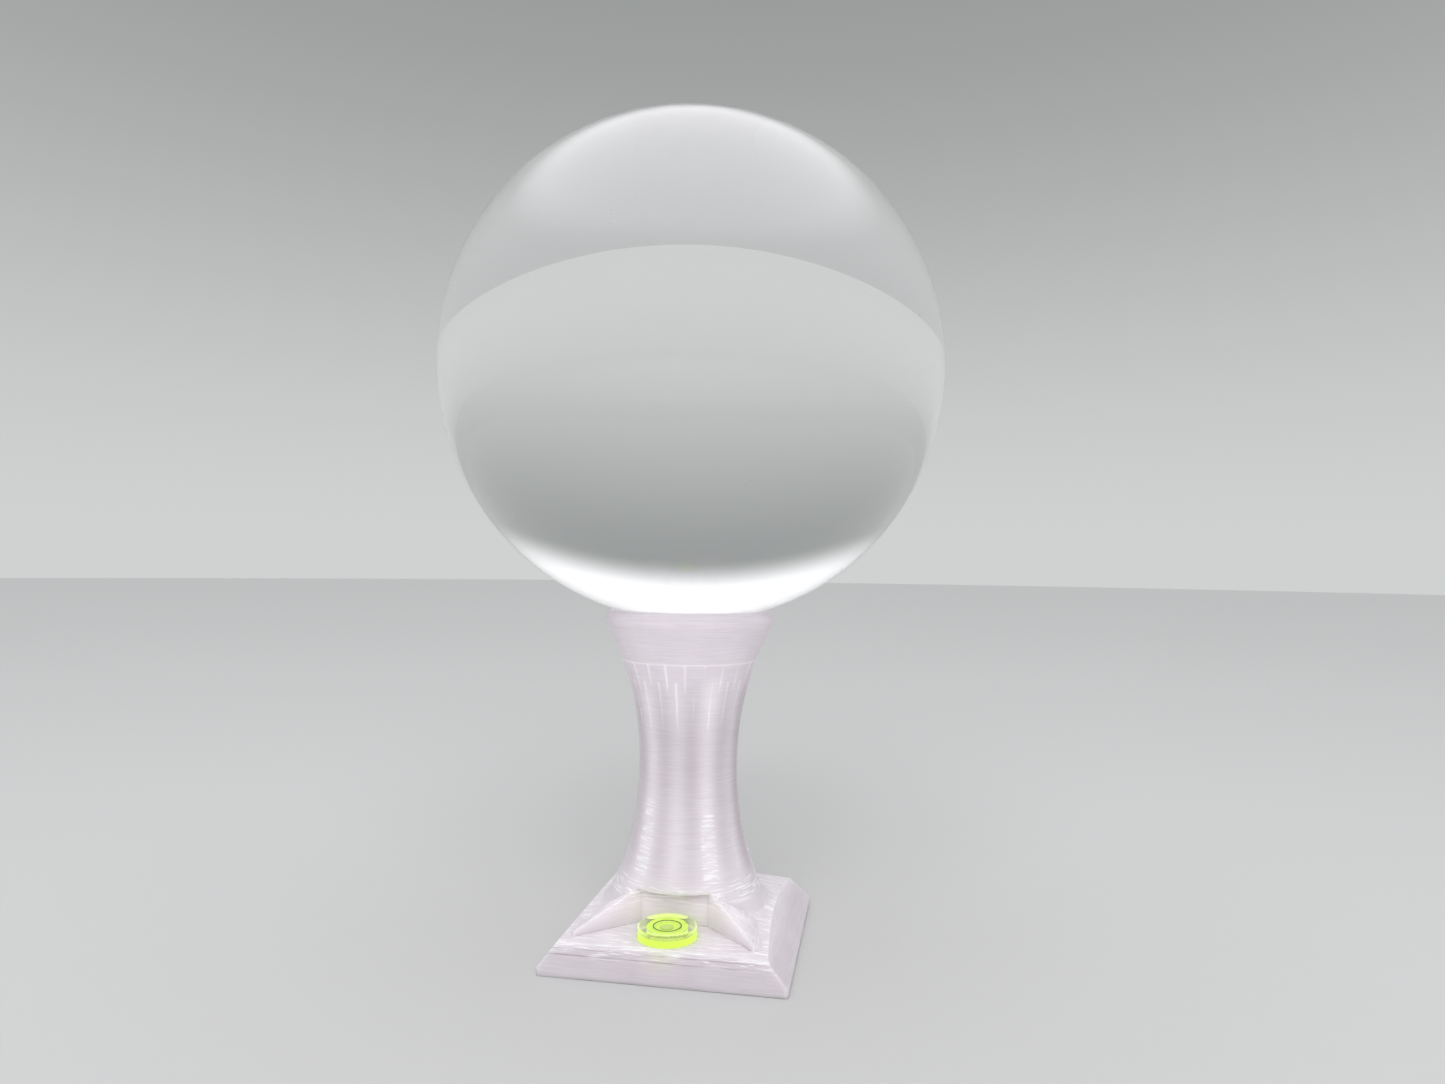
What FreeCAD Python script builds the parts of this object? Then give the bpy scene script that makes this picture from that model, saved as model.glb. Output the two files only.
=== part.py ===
"""A solid crystal ball on a printed pedestal stand with a bullseye level.

Frame: millimetres, +Z up, origin at the centre of the plinth's underside.
The level stands in a bay at the front of the plinth, on the -Y side.
"""
import FreeCAD, Part
import math
import os

from FreeCAD import Vector

# ---- Ball ----
ball_radius = 55.0
ball_sink = 2.9            # how far the ball's lowest point lies below the collar's top
seat_gap = 0.15            # between the ball and the dish it rests in

# ---- Plinth ----
plinth_side = 50.4
rim_height = 1.4           # the upright band under the bevels
bevel_run_per_rise = 0.78  # how far a bevel leans in for each mm it climbs
plinth_corner_radius = 0.8
foot_edge_height = 7.7     # the foot cone's height over the middle of a side
foot_slope = math.radians(8.5)
foot_blend_radius = 3.0    # between the foot cone and the column
shoulder_rise = 4.3        # the square block ends this far above foot_edge_height

# ---- Column and collar ----
waist_radius = 10.8
waist_low_z = 37.5         # the flares start at either end of a short straight waist
waist_high_z = 38.5
lower_flare_radius = 64.0
upper_flare_radius = 65.0
lip_radius = 2.3           # rounding of the collar's lip
lip_centre_z = 69.9

# ---- Level bay ----
bay_floor_z = 7.2
bay_ceiling_z = 14.2
bay_depth = 13.0           # from the plinth's front face to the bay's back wall
bay_back_half_width = 7.0
bay_wall_angle = math.radians(43)  # of each side wall, from the back wall
cheek_length = 15.2        # of the raised cheek along each side wall
cheek_head_rise = 7.5      # its height over the bay's floor at the back corner
cheek_fall = 0.42          # how far its top falls for each mm along the wall
cheek_lean = 0.45          # and for each mm away from the wall
cheek_reach = 12.0         # away from the wall; by then it lies inside the foot

# ---- Bullseye level ----
level_radius = 6.0
level_height = 6.0
level_proud = 2.25         # how far it stands above the bay's floor
level_back_gap = 0.15      # to the bay's back wall
pocket_gap = 0.1           # around the level in its pocket
pad_thickness = 0.25
pad_inset = 0.5
cavity_radius = 4.25
cup_floor = 1.0
lens_thickness = 0.8
lens_edge_bevel = 0.15
dome_rise = 0.25           # hollow under the lens, which centres the bubble
ring_radius = 2.95
ring_width = 0.28
ring_depth = 0.08          # of the inked ring below the dome's edge line
liquid_gap = 0.02
bubble_radius = 1.35
bubble_thickness = 0.36
bubble_gap = 0.12          # bubble to the ring above and to the liquid below
bubble_rest_y = -0.45      # from the level's centre: the stand leans a little

# ---- Derived places ----
half_side = plinth_side / 2
overlap = 1.0              # how far a cutter reaches past what it cuts
top_z = lip_centre_z + lip_radius
ball_centre_z = top_z - ball_sink + ball_radius
shoulder_z = foot_edge_height + shoulder_rise
bay_back_y = bay_depth - half_side
level_y = bay_back_y - level_back_gap - level_radius
level_top_z = bay_floor_z + level_proud
level_bottom_z = level_top_z - level_height
pocket_floor_z = level_bottom_z - pad_thickness
cup_top_z = level_top_z - lens_thickness
ring_bottom_z = cup_top_z - ring_depth
bubble_top_z = ring_bottom_z - bubble_gap
bubble_bottom_z = bubble_top_z - bubble_thickness
liquid_top_z = bubble_bottom_z - bubble_gap

UP = Vector(0, 0, 1)
ORIGIN = Vector(0, 0, 0)


def disc(radius, low_z, high_z, y=0.0):
    """An upright cylinder between two heights."""
    return Part.makeCylinder(radius, high_z - low_z, Vector(0, y, low_z), UP)


def prism(points, along):
    """A straight prism on a closed outline of points."""
    outline = Part.makePolygon(points + [points[0]])
    return Part.Face(outline).extrude(along)


def arc(start, centre, end):
    """The short arc about a centre, in the XZ plane."""
    radius = (start - centre).Length
    middle = centre + ((start - centre) + (end - centre)).normalize() * radius
    return Part.Arc(start, middle, end).toShape()


def straight(start, end):
    return Part.LineSegment(start, end).toShape()


def foot_height(radius):
    """Height of the foot cone at a distance from the axis."""
    return foot_edge_height - (radius - half_side) * math.tan(foot_slope)


def foot_blend():
    """Arc that joins the foot cone to the column's lower flare, tangent to both.

    Its centre stands foot_blend_radius above the cone and as far inside the
    flare's own circle, which leaves one unknown along the cone's slope.
    """
    flare_centre = Vector(waist_radius + lower_flare_radius, 0, waist_low_z)
    inward = Vector(-math.cos(foot_slope), 0, math.sin(foot_slope))
    outward_normal = Vector(math.sin(foot_slope), 0, math.cos(foot_slope))
    start = Vector(half_side, 0, foot_edge_height) + outward_normal * foot_blend_radius
    offset = start - flare_centre
    b = offset.dot(inward)
    c = offset.dot(offset) - (lower_flare_radius - foot_blend_radius) ** 2
    # The larger root lies on the column's side of the circle.
    travel = -b + math.sqrt(b * b - c)
    centre = start + inward * travel
    on_cone = centre - outward_normal * foot_blend_radius
    away = (centre - flare_centre).normalize()
    on_flare = flare_centre + away * lower_flare_radius
    return on_cone, centre, on_flare, flare_centre


def lip_join():
    """Centre of the lip's circle and the point where it meets the upper flare."""
    flare_centre = Vector(waist_radius + upper_flare_radius, 0, waist_high_z)
    reach = upper_flare_radius + lip_radius
    climb = lip_centre_z - waist_high_z
    lip_centre = Vector(flare_centre.x - math.sqrt(reach ** 2 - climb ** 2), 0, lip_centre_z)
    away = (lip_centre - flare_centre).normalize()
    return flare_centre, lip_centre, flare_centre + away * upper_flare_radius


def turned_pedestal():
    """Foot cone, column and collar as one turned solid."""
    on_cone, blend_centre, on_flare, low_centre = foot_blend()
    high_centre, lip_centre, on_lip = lip_join()
    outer = plinth_side
    foot_rim = Vector(outer, 0, foot_height(outer))
    waist_low = Vector(waist_radius, 0, waist_low_z)
    waist_high = Vector(waist_radius, 0, waist_high_z)
    lip_top = Vector(lip_centre.x, 0, top_z)
    below = Vector(outer, 0, -overlap - plinth_side * math.tan(foot_slope))
    edges = [
        straight(Vector(0, 0, below.z), below),
        straight(below, foot_rim),
        straight(foot_rim, on_cone),
        arc(on_cone, blend_centre, on_flare),
        arc(on_flare, low_centre, waist_low),
        straight(waist_low, waist_high),
        arc(waist_high, high_centre, on_lip),
        arc(on_lip, lip_centre, lip_top),
        straight(lip_top, Vector(0, 0, top_z)),
        straight(Vector(0, 0, top_z), Vector(0, 0, below.z)),
    ]
    face = Part.Face(Part.Wire(edges))
    return face.revolve(ORIGIN, UP, 360)


def plinth_block():
    """Square block, bevelled at the back and both sides and upright at the front."""
    top_half = half_side - (shoulder_z - rim_height) * bevel_run_per_rise
    block = Part.makeBox(plinth_side, plinth_side, shoulder_z,
                         Vector(-half_side, -half_side, 0))
    corners = [edge for edge in block.Edges
               if abs(edge.Vertexes[0].Z - edge.Vertexes[1].Z) > rim_height]
    block = block.makeFillet(plinth_corner_radius, corners)
    across = prism([Vector(-half_side, -half_side - overlap, 0),
                    Vector(half_side, -half_side - overlap, 0),
                    Vector(half_side, -half_side - overlap, rim_height),
                    Vector(top_half, -half_side - overlap, shoulder_z),
                    Vector(-top_half, -half_side - overlap, shoulder_z),
                    Vector(-half_side, -half_side - overlap, rim_height)],
                   Vector(0, plinth_side + 2 * overlap, 0))
    along = prism([Vector(-half_side - overlap, -half_side, 0),
                   Vector(-half_side - overlap, half_side, 0),
                   Vector(-half_side - overlap, half_side, rim_height),
                   Vector(-half_side - overlap, top_half, shoulder_z),
                   Vector(-half_side - overlap, -half_side, shoulder_z)],
                  Vector(plinth_side + 2 * overlap, 0, 0))
    return block.common(across).common(along)


def level_bay():
    """Cutter for the bay: a trapezoid that opens towards the front edge."""
    mouth_y = -half_side - overlap
    depth = bay_back_y - mouth_y
    mouth_half_width = bay_back_half_width + depth / math.tan(bay_wall_angle)
    return prism([Vector(-bay_back_half_width, bay_back_y, bay_floor_z),
                  Vector(bay_back_half_width, bay_back_y, bay_floor_z),
                  Vector(mouth_half_width, mouth_y, bay_floor_z),
                  Vector(-mouth_half_width, mouth_y, bay_floor_z)],
                 Vector(0, 0, bay_ceiling_z - bay_floor_z))


def cheek(side):
    """Raised cheek along one side wall of the bay.

    Its top is one plane, which falls along the wall and away from it until it
    dies into the foot.
    """
    corner = Vector(side * bay_back_half_width, bay_back_y, bay_floor_z)
    along = Vector(side * math.cos(bay_wall_angle), -math.sin(bay_wall_angle), 0)
    outward = Vector(side * math.sin(bay_wall_angle), math.cos(bay_wall_angle), 0)
    start = corner - along * overlap
    end = corner + along * cheek_length
    head = cheek_head_rise + cheek_fall * overlap
    tail = cheek_head_rise - cheek_fall * cheek_length
    return prism([start - UP * overlap, end - UP * overlap, end + UP * tail, start + UP * head],
                 (outward - UP * cheek_lean) * cheek_reach)


def printed_stand():
    """Plinth, column and collar in one print, with the dish, bay and level pocket."""
    envelope = plinth_block().fuse(disc(plinth_side, shoulder_z, top_z + overlap))
    stand = turned_pedestal().fuse([cheek(-1), cheek(1)]).common(envelope)
    dish = Part.makeSphere(ball_radius + seat_gap, Vector(0, 0, ball_centre_z))
    pocket = disc(level_radius + pocket_gap, pocket_floor_z, bay_floor_z + overlap, level_y)
    return stand.cut(dish).cut(level_bay()).cut(pocket).removeSplitter()


def glass_ball():
    return Part.makeSphere(ball_radius, Vector(0, 0, ball_centre_z))


def level_cup():
    """Clear cup with thick walls, open under the lens."""
    cup = disc(level_radius, level_bottom_z, cup_top_z, level_y)
    cavity = disc(cavity_radius, level_bottom_z + cup_floor, cup_top_z + overlap, level_y)
    return cup.cut(cavity)


def level_lens():
    """Clear lid whose underside is hollowed to a shallow dome."""
    lens = disc(level_radius, cup_top_z, level_top_z, level_y)
    top_edges = [edge for edge in lens.Edges
                 if all(abs(v.Z - level_top_z) < lens_edge_bevel for v in edge.Vertexes)]
    lens = lens.makeChamfer(lens_edge_bevel, top_edges)
    dome_radius = (cavity_radius ** 2 + dome_rise ** 2) / (2 * dome_rise)
    dome = Part.makeSphere(dome_radius, Vector(0, level_y, cup_top_z + dome_rise - dome_radius))
    return lens.cut(dome)


def target_ring():
    """Inked ring that clings to the dome."""
    outer = disc(ring_radius, ring_bottom_z, level_top_z, level_y)
    inner = disc(ring_radius - ring_width, ring_bottom_z, level_top_z, level_y)
    return outer.cut(inner).cut(level_lens()).common(disc(ring_radius, ring_bottom_z,
                                                          cup_top_z + dome_rise, level_y))


def level_liquid():
    return disc(cavity_radius - liquid_gap, level_bottom_z + cup_floor, liquid_top_z, level_y)


def air_bubble():
    """Flat bubble with a rounded edge, a little off the ring's centre."""
    bubble = disc(bubble_radius, bubble_bottom_z, bubble_top_z, level_y + bubble_rest_y)
    rims = [edge for edge in bubble.Edges if len(edge.Vertexes) == 1]
    return bubble.makeFillet(bubble_thickness / 3, rims)


def adhesive_pad():
    return disc(level_radius - pad_inset, pocket_floor_z, level_bottom_z, level_y)


PARTS = {
    "glass_ball": glass_ball,
    "printed_stand": printed_stand,
    "level_cup": level_cup,
    "level_lens": level_lens,
    "level_target_ring": target_ring,
    "level_liquid": level_liquid,
    "level_bubble": air_bubble,
    "level_adhesive_pad": adhesive_pad,
}


def main():
    os.makedirs("parts", exist_ok=True)
    for name, make in PARTS.items():
        shape = make()
        shape.exportStep("parts/" + name + ".step")
        box = shape.BoundBox
        print(name, "solids", len(shape.Solids), "valid", shape.isValid(),
              "volume %.2f" % shape.Volume,
              "z %.2f to %.2f" % (box.ZMin, box.ZMax))


main()
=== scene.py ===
"""Looks for a solid crystal ball on a translucent printed pedestal with a bullseye level.

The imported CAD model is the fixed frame: metres, +Z up, origin under the plinth's centre.
"""

import math

import bmesh
import bpy
from mathutils import Matrix, Vector


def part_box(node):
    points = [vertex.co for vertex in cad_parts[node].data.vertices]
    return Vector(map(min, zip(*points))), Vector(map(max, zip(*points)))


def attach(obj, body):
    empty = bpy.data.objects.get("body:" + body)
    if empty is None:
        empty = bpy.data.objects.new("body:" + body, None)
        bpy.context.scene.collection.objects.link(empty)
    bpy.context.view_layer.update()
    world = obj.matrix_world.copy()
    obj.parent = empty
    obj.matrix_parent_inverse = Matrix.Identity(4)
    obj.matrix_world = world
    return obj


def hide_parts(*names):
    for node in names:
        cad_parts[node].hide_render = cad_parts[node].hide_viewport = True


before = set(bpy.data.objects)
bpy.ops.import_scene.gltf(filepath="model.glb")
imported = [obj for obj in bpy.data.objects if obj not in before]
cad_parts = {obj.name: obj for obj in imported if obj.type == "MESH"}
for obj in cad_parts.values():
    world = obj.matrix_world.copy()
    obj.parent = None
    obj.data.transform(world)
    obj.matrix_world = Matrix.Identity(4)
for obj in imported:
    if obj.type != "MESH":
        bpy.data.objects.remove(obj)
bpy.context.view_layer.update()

MM = 0.001

ball_low, ball_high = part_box("glass_ball")
stand_low, stand_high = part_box("printed_stand")
cup_low, cup_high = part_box("level_cup")
lens_low, lens_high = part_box("level_lens")
liquid_low, liquid_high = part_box("level_liquid")
bubble_low, bubble_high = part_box("level_bubble")

ball_radius = (ball_high.z - ball_low.z) / 2
ball_centre = Vector((0, 0, (ball_high.z + ball_low.z) / 2))
level_y = (cup_low.y + cup_high.y) / 2

# The level's pieces overlap by a bond's thickness, so that light crosses no air gap.
bond = 0.02 * MM
cavity_radius = 4.25 * MM
dome_rise = 0.25 * MM
lens_bevel = 0.15 * MM
seam_depth = 0.12 * MM

# Heights on the stand that its material follows.
shelf_z = 7.2 * MM
column_foot_z = 12 * MM
column_clear_z = 20 * MM
waist_z = 38 * MM
neck_line_z = 61.0 * MM
front_start_y = stand_low.y + 1.5 * MM
front_full_y = stand_low.y + 0.5 * MM

thread_count = 22
lathe_segments = 96
dome_steps = 12


# ---- Node helpers ----

def new_material(name):
    """A new material, its node tree and its shader."""
    material = bpy.data.materials.new(name)
    material.use_nodes = True
    return material, material.node_tree, material.node_tree.nodes["Principled BSDF"]


def link(tree, source, target):
    tree.links.new(source, target)


def math_node(tree, operation, first, second=None, clamp=False):
    """A Math node on two values, each a socket or a number; returns its output."""
    node = tree.nodes.new("ShaderNodeMath")
    node.operation = operation
    node.use_clamp = clamp
    for socket, value in zip(node.inputs, (first, second)):
        if value is None:
            continue
        if isinstance(value, (int, float)):
            socket.default_value = value
        else:
            link(tree, value, socket)
    return node.outputs[0]


def smooth_range(tree, value, low, high):
    """Zero at low, one at high, and smooth between; low may be above high."""
    node = tree.nodes.new("ShaderNodeMapRange")
    node.interpolation_type = "SMOOTHSTEP"
    node.inputs["From Min"].default_value = low
    node.inputs["From Max"].default_value = high
    link(tree, value, node.inputs["Value"])
    return node.outputs["Result"]


def band(tree, value, centre, half_width):
    """One at the centre, falling smoothly to nothing at half_width either side."""
    offset = math_node(tree, "ABSOLUTE", math_node(tree, "SUBTRACT", value, centre))
    return smooth_range(tree, offset, half_width, 0.0)


def position(tree):
    """Object coordinates, and their separate X, Y and Z."""
    coordinates = tree.nodes.new("ShaderNodeTexCoord").outputs["Object"]
    split = tree.nodes.new("ShaderNodeSeparateXYZ")
    link(tree, coordinates, split.inputs[0])
    x, y, z = split.outputs
    return coordinates, x, y, z


def scaled(tree, coordinates, scale):
    """Coordinates multiplied per axis, to draw a texture out along the axes with low numbers."""
    node = tree.nodes.new("ShaderNodeMapping")
    node.inputs["Scale"].default_value = scale
    link(tree, coordinates, node.inputs["Vector"])
    return node.outputs[0]


def noise(tree, vector, scale=1.0, detail=2.0, roughness=0.5):
    """Noise value, in cycles per metre of the vector it is given."""
    node = tree.nodes.new("ShaderNodeTexNoise")
    node.inputs["Scale"].default_value = scale
    node.inputs["Detail"].default_value = detail
    node.inputs["Roughness"].default_value = roughness
    link(tree, vector, node.inputs["Vector"])
    return node.outputs[0]


def mix_colour(tree, share, first, second):
    """Mix of two colours, each a socket or an RGB triple, by a value socket."""
    node = tree.nodes.new("ShaderNodeMix")
    node.data_type = "RGBA"
    link(tree, share, node.inputs[0])
    for socket, value in ((node.inputs[6], first), (node.inputs[7], second)):
        if isinstance(value, tuple):
            socket.default_value = (*value, 1.0)
        else:
            link(tree, value, socket)
    return node.outputs[2]


def mix_value(tree, share, first, second):
    """Blend of two value sockets."""
    node = tree.nodes.new("ShaderNodeMix")
    node.data_type = "FLOAT"
    link(tree, share, node.inputs[0])
    link(tree, first, node.inputs[2])
    link(tree, second, node.inputs[3])
    return node.outputs[0]


def mix_multiply(tree, first, second):
    """Product of two colour sockets."""
    node = tree.nodes.new("ShaderNodeMix")
    node.data_type = "RGBA"
    node.blend_type = "MULTIPLY"
    node.inputs[0].default_value = 1.0
    link(tree, first, node.inputs[6])
    link(tree, second, node.inputs[7])
    return node.outputs[2]


def bump(tree, height, distance):
    """Normal of a surface raised by the height times the distance."""
    node = tree.nodes.new("ShaderNodeBump")
    node.inputs["Strength"].default_value = 1.0
    node.inputs["Distance"].default_value = distance
    link(tree, height, node.inputs["Height"])
    return node.outputs[0]


# ---- Materials ----

def crystal():
    """Polished clear crystal with a few dust specks."""
    material, tree, shader = new_material("polished_crystal")
    coordinates = position(tree)[0]
    shader.inputs["Base Color"].default_value = (0.985, 0.992, 0.99, 1)
    shader.inputs["Transmission Weight"].default_value = 1.0
    shader.inputs["IOR"].default_value = 1.51
    dust = tree.nodes.new("ShaderNodeTexVoronoi")
    dust.inputs["Scale"].default_value = 220.0
    link(tree, coordinates, dust.inputs["Vector"])
    speck = smooth_range(tree, dust.outputs["Distance"], 0.055, 0.02)
    some = smooth_range(tree, noise(tree, coordinates, 60.0), 0.56, 0.62)
    speck = math_node(tree, "MULTIPLY", speck, some)
    link(tree, math_node(tree, "MULTIPLY", speck, 0.5), shader.inputs["Roughness"])
    return material


def layer_lines(tree, coordinates):
    """Fine level lines of varied strength, drawn out round the part."""
    fine = noise(tree, scaled(tree, coordinates, (150, 150, 5200)), 1.0, 2.0, 0.7)
    return smooth_range(tree, fine, 0.3, 0.75)


def bright_threads(tree, coordinates, z, turn):
    """Short upright threads of uneven strength, in two staggered rows under the neck line."""
    spacing = 2 * math.pi / thread_count
    threads = None
    for shift, low, high, fade in ((0.0, 54.0, 61.2, 3.5), (0.5, 44.5, 57.5, 6.0)):
        across = math_node(tree, "ADD", math_node(tree, "DIVIDE", turn, spacing), shift)
        across = math_node(tree, "PINGPONG", across, 0.5)
        line = smooth_range(tree, across, 0.11, 0.02)
        inside = math_node(tree, "MULTIPLY",
                           smooth_range(tree, z, low * MM, (low + fade) * MM),
                           smooth_range(tree, z, high * MM, (high - 0.5) * MM))
        row = math_node(tree, "MULTIPLY", line, inside)
        threads = row if threads is None else math_node(tree, "MAXIMUM", threads, row)
    uneven = noise(tree, scaled(tree, coordinates, (170, 170, 60)), 1.0, 1.0)
    return math_node(tree, "MULTIPLY", threads, smooth_range(tree, uneven, 0.3, 0.6))


def upright_ribs(tree, z, turn):
    """Broad faint upright bands, where the inner walls show through the column."""
    ribs = math_node(tree, "SINE", math_node(tree, "MULTIPLY", turn, 11.0))
    wide = math_node(tree, "SINE", math_node(tree, "MULTIPLY", turn, 5.0))
    both = math_node(tree, "ADD", math_node(tree, "MULTIPLY", ribs, 0.6),
                     math_node(tree, "MULTIPLY", wide, 0.4))
    on_column = math_node(tree, "MULTIPLY", smooth_range(tree, z, column_foot_z, column_clear_z),
                          smooth_range(tree, z, neck_line_z, 52 * MM))
    return math_node(tree, "MULTIPLY", both, on_column)


def glints(tree, coordinates, x, y, z, shallow, ribs):
    """Bright broken dashes where the steps between layers catch the light."""
    dash = noise(tree, scaled(tree, coordinates, (200, 200, 2600)), 1.0, 2.0, 0.6)
    raster = noise(tree, scaled(tree, coordinates, (170, 2000, 400)), 1.0, 2.0, 0.6)
    flat = smooth_range(tree, shallow, 0.5, 0.9)
    dash = mix_value(tree, flat, smooth_range(tree, dash, 0.5, 0.66),
                     smooth_range(tree, raster, 0.5, 0.7))
    where = math_node(tree, "MULTIPLY", flat, 0.7)
    lit_ribs = math_node(tree, "MULTIPLY", smooth_range(tree, ribs, 0.1, 0.7),
                         smooth_range(tree, z, waist_z, column_clear_z))
    where = math_node(tree, "MAXIMUM", where, lit_ribs)
    where = math_node(tree, "MAXIMUM", where, band(tree, z, 13.6 * MM, 3.2 * MM))
    front = smooth_range(tree, y, front_start_y, front_full_y)
    face = math_node(tree, "MULTIPLY", front, band(tree, z, 6.0 * MM, 2.6 * MM))
    where = math_node(tree, "MAXIMUM", where, face)
    return math_node(tree, "MULTIPLY", dash, where)


def leaked_light(tree, x, y, z):
    """Painted glow: stands in for light through a hollow print in the level's bay, and up the collar
    for the light the ball focuses on it.
    """
    off_middle = math_node(tree, "ABSOLUTE", x)
    bay = math_node(tree, "MULTIPLY", smooth_range(tree, off_middle, 19 * MM, 15 * MM),
                    smooth_range(tree, y, -25 * MM, -22 * MM))
    bay = math_node(tree, "MULTIPLY", bay, smooth_range(tree, y, -11.5 * MM, -12.0 * MM))
    bay = math_node(tree, "MULTIPLY", bay, band(tree, z, 11.2 * MM, 4.0 * MM))
    bay = math_node(tree, "MULTIPLY", bay, 0.72)
    collar = smooth_range(tree, z, 44 * MM, 64 * MM)
    return math_node(tree, "MAXIMUM", bay, math_node(tree, "MULTIPLY", collar, 0.9))


def painted_grey_shade(tree, normal_z, z):
    """Painted shade: the print greyer on the bevels, round the waist and at the column's outline."""
    facing = tree.nodes.new("ShaderNodeLayerWeight")
    outline = smooth_range(tree, facing.outputs["Facing"], 0.35, 0.85)
    outline = math_node(tree, "MULTIPLY", outline, smooth_range(tree, z, column_foot_z, column_clear_z))
    waist = math_node(tree, "MULTIPLY", band(tree, z, waist_z, 17 * MM), 0.5)
    bevel = math_node(tree, "MULTIPLY", smooth_range(tree, z, 7.1 * MM, 4.6 * MM),
                      smooth_range(tree, normal_z, 0.9, 0.7))
    greyer = math_node(tree, "MAXIMUM", outline, waist)
    return math_node(tree, "MAXIMUM", greyer, math_node(tree, "MULTIPLY", bevel, 0.8))


def printed_plastic():
    """Translucent natural print: fine layer lines, glints on steps, threads and faint ribs."""
    material, tree, shader = new_material("printed_plastic")
    coordinates, x, y, z = position(tree)
    turn = math_node(tree, "ARCTAN2", y, x)
    normal = tree.nodes.new("ShaderNodeSeparateXYZ")
    link(tree, tree.nodes.new("ShaderNodeNewGeometry").outputs["True Normal"], normal.inputs[0])
    shallow = smooth_range(tree, normal.outputs[2], 0.65, 0.95)
    lines = layer_lines(tree, coordinates)
    threads = bright_threads(tree, coordinates, z, turn)
    ribs = upright_ribs(tree, z, turn)
    bright = glints(tree, coordinates, x, y, z, shallow, ribs)
    cloud = noise(tree, scaled(tree, coordinates, (120, 120, 60)), 1.0, 2.0, 0.5)
    # The neck line, and two thin broken dark lines across the plinth's front.
    neck = band(tree, z, neck_line_z, 0.35 * MM)
    front = smooth_range(tree, y, front_start_y, front_full_y)
    seam = math_node(tree, "MAXIMUM", band(tree, z, 4.7 * MM, 0.2 * MM),
                     band(tree, z, 5.9 * MM, 0.14 * MM))
    broken = smooth_range(tree, noise(tree, scaled(tree, coordinates, (90, 90, 300))), 0.35, 0.6)
    seam = math_node(tree, "MULTIPLY", math_node(tree, "MULTIPLY", seam, broken), front)
    # Painted shade: greyer on the bevels, the waist and the column's outline.
    thin = painted_grey_shade(tree, normal.outputs[2], z)
    tone = 0.2
    for share, part in ((0.18, lines), (0.26, cloud), (0.25, ribs), (0.36, threads),
                        (0.85, bright), (0.3, neck), (-0.25, thin)):
        tone = math_node(tree, "ADD", tone, math_node(tree, "MULTIPLY", part, share))
    tone = math_node(tree, "ADD", tone, 0.0, clamp=True)
    colour = mix_colour(tree, tone, (0.60, 0.545, 0.585), (0.985, 0.945, 0.985))
    seam_shade = mix_colour(tree, seam, (1.0, 1.0, 1.0), (0.62, 0.58, 0.62))
    colour = mix_multiply(tree, colour, seam_shade)
    link(tree, colour, shader.inputs["Base Color"])
    # Painted glow in the bay and up the collar, given as emission.
    leak = leaked_light(tree, x, y, z)
    glow = mix_colour(tree, leak, (0.0, 0.0, 0.0), (0.19, 0.176, 0.192))
    link(tree, mix_multiply(tree, glow, colour), shader.inputs["Emission Color"])
    shader.inputs["Emission Strength"].default_value = 1.0
    shader.inputs["Subsurface Weight"].default_value = 1.0
    shader.inputs["Subsurface Radius"].default_value = (1.0, 0.95, 1.0)
    shader.inputs["Subsurface Scale"].default_value = 2.2 * MM
    shader.inputs["IOR"].default_value = 1.46
    rough = math_node(tree, "SUBTRACT", 0.48, math_node(tree, "MULTIPLY", bright, 0.2))
    link(tree, rough, shader.inputs["Roughness"])
    height = math_node(tree, "ADD", math_node(tree, "MULTIPLY", lines, 0.3), bright)
    height = math_node(tree, "ADD", height, math_node(tree, "MULTIPLY", threads, 2.0))
    link(tree, bump(tree, height, 0.03 * MM), shader.inputs["Normal"])
    return material


def level_reach(tree, x, y, centre_y):
    """Distance from an upright axis at x = 0 and the given y."""
    from_centre = math_node(tree, "SUBTRACT", y, centre_y)
    return math_node(tree, "SQRT", math_node(
        tree, "ADD", math_node(tree, "MULTIPLY", x, x),
        math_node(tree, "MULTIPLY", from_centre, from_centre)))


def clear_acrylic():
    """Moulded acrylic, with a painted glow at its outer edge and cavity wall for the liquid's light
    that it carries there.
    """
    material, tree, shader = new_material("clear_acrylic")
    coordinates, x, y, z = position(tree)
    haze = noise(tree, coordinates, 700.0, 2.0)
    colour = mix_colour(tree, haze, (0.93, 0.97, 0.91), (0.99, 1.0, 0.98))
    link(tree, colour, shader.inputs["Base Color"])
    reach = level_reach(tree, x, y, level_y)
    outer = (cup_high.x - cup_low.x) / 2
    side = smooth_range(tree, reach, outer - 0.1 * MM, outer - 0.04 * MM)
    wall = smooth_range(tree, reach, cavity_radius, cavity_radius + 0.3 * MM)
    low = smooth_range(tree, z, lens_high.z, shelf_z)
    # Painted glow: the liquid's light, carried to the acrylic's edge and cavity wall.
    edge_glow = mix_colour(tree, low, (0.07, 0.12, 0.02), (0.10, 0.12, 0.02))
    wall_glow = mix_colour(tree, wall, (0.0, 0.0, 0.0), (0.08, 0.085, 0.06))
    link(tree, mix_colour(tree, side, wall_glow, edge_glow), shader.inputs["Emission Color"])
    shader.inputs["Emission Strength"].default_value = 1.0
    shader.inputs["Roughness"].default_value = 0.0
    shader.inputs["Transmission Weight"].default_value = 1.0
    shader.inputs["IOR"].default_value = 1.49
    return material


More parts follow.
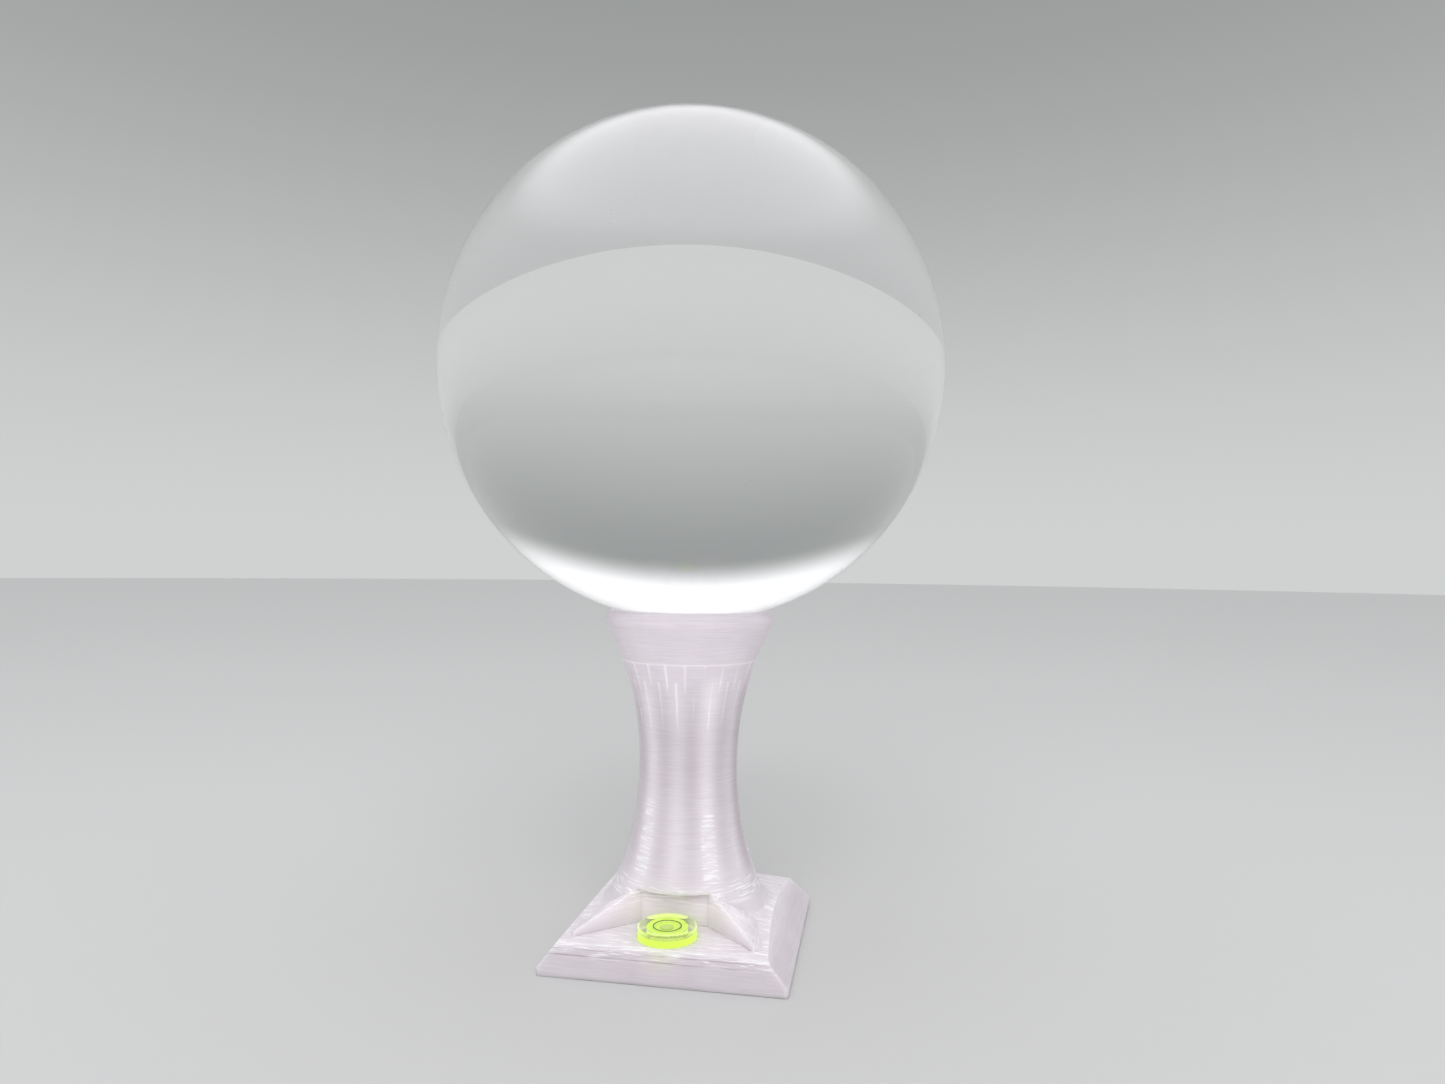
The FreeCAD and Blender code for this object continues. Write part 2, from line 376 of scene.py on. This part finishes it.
def fluorescent_liquid():
    """Glowing yellow-green, yellower towards the bottom."""
    material, tree, shader = new_material("fluorescent_liquid")
    coordinates, x, y, z = position(tree)
    cloud = smooth_range(tree, noise(tree, coordinates, 230.0, 2.0), 0.3, 0.7)
    depth = smooth_range(tree, z, liquid_high.z, liquid_low.z)
    yellow = math_node(tree, "ADD", math_node(tree, "MULTIPLY", cloud, 0.4),
                       math_node(tree, "MULTIPLY", depth, 0.6))
    colour = mix_colour(tree, yellow, (0.70, 0.96, 0.10), (0.84, 0.98, 0.16))
    link(tree, colour, shader.inputs["Base Color"])
    link(tree, colour, shader.inputs["Emission Color"])
    shader.inputs["Emission Strength"].default_value = 0.5
    shader.inputs["Roughness"].default_value = 0.4
    return material


def liquid_film():
    """The same liquid where it is thin enough to see through, round the bubble."""
    material, tree, shader = new_material("liquid_film")
    coordinates = position(tree)[0]
    cloud = noise(tree, coordinates, 300.0, 2.0)
    colour = mix_colour(tree, cloud, (0.86, 1.0, 0.62), (0.94, 1.0, 0.74))
    link(tree, colour, shader.inputs["Base Color"])
    glow = mix_colour(tree, cloud, (0.08, 0.09, 0.01), (0.10, 0.10, 0.01))
    link(tree, glow, shader.inputs["Emission Color"])
    shader.inputs["Emission Strength"].default_value = 1.0
    shader.inputs["Roughness"].default_value = 0.0
    shader.inputs["Transmission Weight"].default_value = 1.0
    shader.inputs["IOR"].default_value = 1.38
    return material


def printed_ink():
    material, tree, shader = new_material("printed_ink")
    coordinates = position(tree)[0]
    grain = noise(tree, coordinates, 2500.0, 2.0)
    colour = mix_colour(tree, grain, (0.008, 0.012, 0.006), (0.025, 0.03, 0.02))
    link(tree, colour, shader.inputs["Base Color"])
    shader.inputs["Roughness"].default_value = 0.5
    return material


def air_bubble():
    """Pale disc with a painted glow like the liquid's, and painted shade as the dark outline that its
    curved edge shows.
    """
    material, tree, shader = new_material("air_bubble")
    coordinates, x, y, z = position(tree)
    edge_radius = (bubble_high.x - bubble_low.x) / 2
    reach = level_reach(tree, x, y, (bubble_low.y + bubble_high.y) / 2)
    # Painted shade: the dark outline of the bubble's curved edge.
    outline = smooth_range(tree, reach, edge_radius * 0.84, edge_radius * 0.93)
    colour = mix_colour(tree, outline, (0.78, 0.95, 0.36), (0.22, 0.36, 0.04))
    link(tree, colour, shader.inputs["Base Color"])
    link(tree, colour, shader.inputs["Emission Color"])
    shader.inputs["Emission Strength"].default_value = 0.38
    shader.inputs["Roughness"].default_value = 0.3
    return material


def adhesive_foam():
    material, tree, shader = new_material("adhesive_foam")
    coordinates = position(tree)[0]
    cells = noise(tree, coordinates, 2500.0, 3.0)
    colour = mix_colour(tree, cells, (0.62, 0.62, 0.58), (0.80, 0.80, 0.76))
    link(tree, colour, shader.inputs["Base Color"])
    shader.inputs["Roughness"].default_value = 0.8
    return material


# ---- Pieces ----

def mesh_object(name, mesh):
    """A new object for the mesh, in the scene."""
    piece = bpy.data.objects.new(name, mesh)
    bpy.context.scene.collection.objects.link(piece)
    return piece


def crystal_ball(material):
    """Even, finely divided sphere, so that its refraction has no facets."""
    form = bmesh.new()
    bmesh.ops.create_icosphere(form, subdivisions=7, radius=ball_radius,
                               matrix=Matrix.Translation(ball_centre))
    for face in form.faces:
        face.smooth = True
    mesh = bpy.data.meshes.new("crystal_ball")
    form.to_mesh(mesh)
    form.free()
    mesh.materials.append(material)
    ball = mesh_object("crystal_ball", mesh)
    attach(ball, "ball")
    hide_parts("glass_ball")


def lathe(name, profile, y):
    """Closed turned mesh about the upright axis at y, from (radius, z) points that
    start and end on that axis."""
    form = bmesh.new()
    rings = []
    for radius, z in profile:
        if radius == 0:
            rings.append([form.verts.new((0, y, z))])
            continue
        turns = [2 * math.pi * i / lathe_segments for i in range(lathe_segments)]
        rings.append([form.verts.new((radius * math.cos(t), y + radius * math.sin(t), z))
                      for t in turns])
    for low, high in zip(rings, rings[1:]):
        for i in range(lathe_segments):
            j = (i + 1) % lathe_segments
            corners = [low[i % len(low)], low[j % len(low)],
                       high[j % len(high)], high[i % len(high)]]
            form.faces.new(list(dict.fromkeys(corners)))
    bmesh.ops.recalc_face_normals(form, faces=form.faces)
    mesh = bpy.data.meshes.new(name)
    form.to_mesh(mesh)
    form.free()
    return mesh_object(name, mesh)


def smooth_sides(piece):
    """Shade smooth, with sharp edges where faces meet at more than 30 degrees."""
    for face in piece.data.polygons:
        face.use_smooth = True
    piece.data.set_sharp_from_angle(angle=math.radians(30))


def dome_height(radius):
    """Height of the lens's hollow over its rim, at a distance from the level's axis."""
    dome_radius = (cavity_radius ** 2 + dome_rise ** 2) / (2 * dome_rise)
    return dome_rise - dome_radius + math.sqrt(dome_radius ** 2 - radius ** 2)


def vial_lens(material):
    """Lid of the level: bevelled on top, domed under, and bonded to the cup."""
    outer = (lens_high.x - lens_low.x) / 2
    top = lens_high.z
    bottom = cup_high.z - bond
    radii = [cavity_radius * i / dome_steps for i in range(dome_steps)]
    dome = [(radius, cup_high.z + dome_height(radius)) for radius in radii]
    profile = dome + [(cavity_radius, bottom), (outer - seam_depth, bottom),
                      (outer - seam_depth, cup_high.z + seam_depth / 2),
                      (outer, cup_high.z + seam_depth),
                      (outer, top - lens_bevel), (outer - lens_bevel, top), (0, top)]
    piece = lathe("vial_lens", profile, level_y)
    smooth_sides(piece)
    piece.data.materials.append(material)
    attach(piece, "stand")
    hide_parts("level_lens")


def vial_liquid(body_material, film_material):
    """Liquid that wets the cup: its glowing body, and the clear film under the lens."""
    wetted = cavity_radius + bond
    profile = [(0, liquid_low.z - bond), (wetted, liquid_low.z - bond),
               (wetted, liquid_high.z), (0, liquid_high.z)]
    body = lathe("vial_liquid", profile, level_y)
    radii = [cavity_radius * i / dome_steps for i in range(dome_steps, 0, -1)]
    dome = [(radius, cup_high.z + dome_height(radius) + bond) for radius in radii]
    profile = [(0, liquid_high.z + bond), (wetted, liquid_high.z + bond),
               (wetted, cup_high.z + bond)] + dome + [(0, cup_high.z + dome_rise + bond)]
    film = lathe("vial_liquid_film", profile, level_y)
    for piece, material in ((body, body_material), (film, film_material)):
        smooth_sides(piece)
        piece.data.materials.append(material)
        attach(piece, "stand")
    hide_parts("level_liquid")


def dress(node, material):
    """Put the material on every slot of a CAD node."""
    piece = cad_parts[node]
    for slot in piece.material_slots:
        slot.material = material


# ---- Studio ----

def add_camera():
    data = bpy.data.cameras.new("camera")
    camera = bpy.data.objects.new("camera", data)
    bpy.context.scene.collection.objects.link(camera)
    focal_pixels = 911.579
    image_width = 1445
    data.sensor_fit = "HORIZONTAL"
    data.sensor_width = 36.0
    data.lens = focal_pixels / image_width * data.sensor_width
    data.clip_start = 0.01
    place = Matrix.Translation(Vector((42.214, -198.907, 82.130)) * MM)
    turn = Matrix.Rotation(math.radians(10.011), 4, "Z")
    pitch = Matrix.Rotation(math.radians(91.3615), 4, "X")
    roll = Matrix.Rotation(math.radians(0.6743), 4, "Z")
    camera.matrix_world = place @ turn @ pitch @ roll
    bpy.context.scene.camera = camera


def add_floor():
    form = bmesh.new()
    bmesh.ops.create_circle(form, cap_ends=True, segments=96, radius=4.0)
    mesh = bpy.data.meshes.new("floor")
    form.to_mesh(mesh)
    form.free()
    material, tree, shader = new_material("floor")
    shader.inputs["Base Color"].default_value = (0.57, 0.57, 0.57, 1)
    shader.inputs["Roughness"].default_value = 0.7
    mesh.materials.append(material)
    floor = mesh_object("floor", mesh)


def add_world():
    world = bpy.data.worlds.new("studio")
    bpy.context.scene.world = world
    world.use_nodes = True
    tree = world.node_tree
    background = tree.nodes["Background"]
    direction = tree.nodes.new("ShaderNodeTexCoord").outputs["Generated"]
    split = tree.nodes.new("ShaderNodeSeparateXYZ")
    link(tree, direction, split.inputs[0])
    up = split.outputs[2]
    overhead = smooth_range(tree, up, 0.62, 0.80)
    wall = smooth_range(tree, up, 0.0, 0.62)
    colour = mix_colour(tree, wall, (0.63, 0.64, 0.64), (0.31, 0.32, 0.32))
    colour = mix_colour(tree, overhead, colour, (1.40, 1.40, 1.42))
    link(tree, colour, background.inputs["Color"])
    background.inputs["Strength"].default_value = 1.0


def add_lamp(name, place, target, size, power):
    data = bpy.data.lights.new(name, "AREA")
    data.shape = "DISK"
    data.size = size
    data.energy = power
    lamp = bpy.data.objects.new(name, data)
    bpy.context.scene.collection.objects.link(lamp)
    lamp.visible_glossy = False
    lamp.visible_transmission = False
    lamp.location = place
    lamp.rotation_euler = (Vector(target) - Vector(place)).to_track_quat("-Z", "Y").to_euler()


# ---- Scene ----

crystal_ball(crystal())
dress("printed_stand", printed_plastic())
acrylic = clear_acrylic()
dress("level_cup", acrylic)
vial_lens(acrylic)
vial_liquid(fluorescent_liquid(), liquid_film())
dress("level_target_ring", printed_ink())
dress("level_bubble", air_bubble())
dress("level_adhesive_pad", adhesive_foam())

add_camera()
add_floor()
add_world()
add_lamp("key", (0.15, -0.95, 0.75), (0, 0, 0.07), 1.1, 7.9)
bpy.context.scene.view_settings.view_transform = "Standard"
